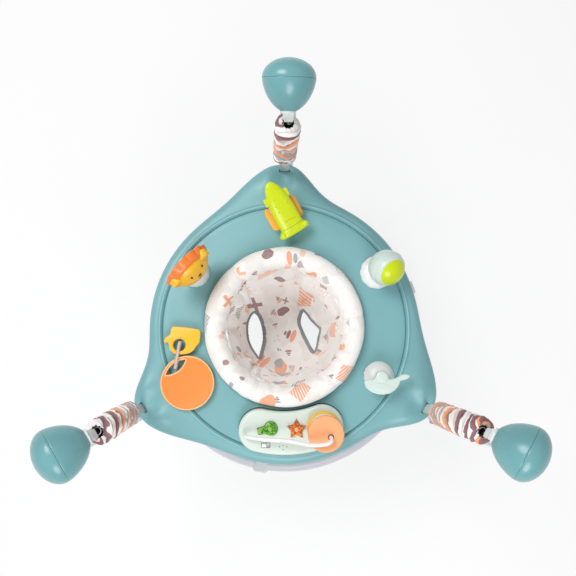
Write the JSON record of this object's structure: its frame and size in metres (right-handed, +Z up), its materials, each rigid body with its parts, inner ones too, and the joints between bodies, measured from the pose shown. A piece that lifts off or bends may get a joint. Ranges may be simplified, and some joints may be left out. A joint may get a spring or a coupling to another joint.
{
  "type": "baby activity jumper",
  "caption": "Free-standing baby activity jumper: a toy tray with a turning fabric seat, hung by sprung straps from posts on a round floor frame.",
  "frame": {"origin": "middle of the whole object's floor plan, on the floor", "axes": "+Z up; +Y towards the rear leg, -Y towards the console at the front; +X towards the ball and whale toys"},
  "size_m": [0.7662, 0.7756, 0.7968],
  "materials": {
    "tray_plastic": "satin moulded",
    "cap_plastic": "satin moulded",
    "pale_tube": "powder coated",
    "white_plastic": "satin moulded",
    "mint_plastic": "satin moulded",
    "lime_plastic": "satin moulded",
    "amber_plastic": "satin moulded",
    "orange_plastic": "satin moulded",
    "teether_plastic": "soft satin",
    "yellow_plastic": "satin moulded",
    "peach_plastic": "satin moulded",
    "green_lens": "translucent, glossy",
    "amber_lens": "translucent, glossy",
    "seat_cloth": "printed woven polyester",
    "sleeve_cloth": "printed woven polyester, gathered",
    "webbing": "woven webbing",
    "ribbon": "woven ribbon",
    "spring_steel": "dark plated"
  },
  "bodies": {
    "frame": {"ring_arc_rear": "pale_tube", "ring_arc_left": "pale_tube", "ring_arc_right": "pale_tube", "leg_socket_rear": "white_plastic", "leg_socket_left": "white_plastic", "leg_socket_right": "white_plastic", "ring_clip_rear": "white_plastic", "ring_clip_left": "white_plastic", "ring_clip_right": "white_plastic", "post_rear": "pale_tube", "post_left": "pale_tube", "post_right": "pale_tube", "cap_outer_rear": "cap_plastic", "cap_outer_left": "cap_plastic", "cap_outer_right": "cap_plastic", "cap_inner_rear": "cap_plastic", "cap_inner_left": "cap_plastic", "cap_inner_right": "cap_plastic", "hanger_rear": "white_plastic", "hanger_left": "white_plastic", "hanger_right": "white_plastic", "spring_rear": "spring_steel", "spring_left": "spring_steel", "spring_right": "spring_steel", "sleeve_rear": "sleeve_cloth", "sleeve_left": "sleeve_cloth", "sleeve_right": "sleeve_cloth"},
    "tray": {"tray_top": "tray_plastic", "tray_underside": "tray_plastic", "strap_rear": "webbing", "strap_left": "webbing", "strap_right": "webbing", "rocket_base": "white_plastic", "lion_base": "white_plastic", "ball_base": "white_plastic", "whale_base": "white_plastic", "elephant": "yellow_plastic", "console_housing": "white_plastic", "battery_door": "white_plastic", "bead_rail": "white_plastic"},
    "seat": {"seat_ring": "white_plastic", "seat_retainer": "white_plastic", "seat_rim": "seat_cloth", "seat_bucket": "seat_cloth"},
    "rocket": {"rocket_body": "lime_plastic", "rocket_fins": "amber_plastic"},
    "lion": {"lion_mane": "orange_plastic", "lion_face": "yellow_plastic"},
    "ball": {"ball_shell": "mint_plastic", "ball_wedge": "lime_plastic"},
    "whale": {"whale_body": "mint_plastic"},
    "teether": {"teether_disc": "teether_plastic", "ribbon_link": "ribbon"},
    "bulb": {"bulb_button": "green_lens"},
    "star": {"star_button": "amber_lens"},
    "switch": {"power_switch": "white_plastic"},
    "peach_bead": {"bead_peach": "peach_plastic"},
    "yellow_bead": {"bead_yellow": "yellow_plastic"}
  },
  "joints": [
    {"name": "tray_bounce", "type": "slide", "parent": "frame", "child": "tray", "axis": [0, 0, 1], "range_m": [-0.12, 0.03], "stiffness_N_per_m": 1500, "springref_m": 0.0261, "deforming": ["spring_rear", "spring_left", "spring_right", "sleeve_rear", "sleeve_left", "sleeve_right"]},
    {"name": "seat_spin", "type": "hinge", "parent": "tray", "child": "seat", "pos_m": [-0.0112, -0.02, 0.4185], "axis": [0, 0, 1], "continuous": true},
    {"name": "rocket_rock", "type": "hinge", "parent": "tray", "child": "rocket", "pos_m": [-0.02356, 0.22978, 0.45136], "axis": [-0.848, -0.5299, 0], "range_deg": [-8, 8], "stiffness_Nm_per_rad": 0.6},
    {"name": "lion_spin", "type": "hinge", "parent": "tray", "child": "lion", "pos_m": [-0.19966, 0.09336, 0.50293], "axis": [0.7309, -0.6816, 0.0349], "continuous": true},
    {"name": "ball_spin", "type": "hinge", "parent": "tray", "child": "ball", "pos_m": [0.1938, 0.095, 0.472], "axis": [0.2685, 0.0448, 0.9622], "continuous": true},
    {"name": "whale_spin", "type": "hinge", "parent": "tray", "child": "whale", "pos_m": [0.1833, -0.122, 0.448], "axis": [0, 0, 1], "continuous": true},
    {"name": "teether_swing", "type": "hinge", "parent": "tray", "child": "teether", "pos_m": [-0.2252, -0.059, 0.4243], "axis": [0, 0, 1], "range_deg": [-18, 5]},
    {"name": "bulb_press", "type": "slide", "parent": "tray", "child": "bulb", "axis": [0, 0, 1], "range_m": [-0.002, 0], "stiffness_N_per_m": 600},
    {"name": "star_press", "type": "slide", "parent": "tray", "child": "star", "axis": [0, 0, 1], "range_m": [-0.002, 0], "stiffness_N_per_m": 600},
    {"name": "power_slide", "type": "slide", "parent": "tray", "child": "switch", "axis": [1, 0, 0], "range_m": [0, 0.006]},
    {"name": "peach_bead_spin", "type": "hinge", "parent": "tray", "child": "peach_bead", "pos_m": [0.0813, -0.239, 0.458], "axis": [0, 0, 1], "continuous": true},
    {"name": "yellow_bead_spin", "type": "hinge", "parent": "tray", "child": "yellow_bead", "pos_m": [0.0813, -0.239, 0.45], "axis": [0, 0, 1], "continuous": true}
  ]
}
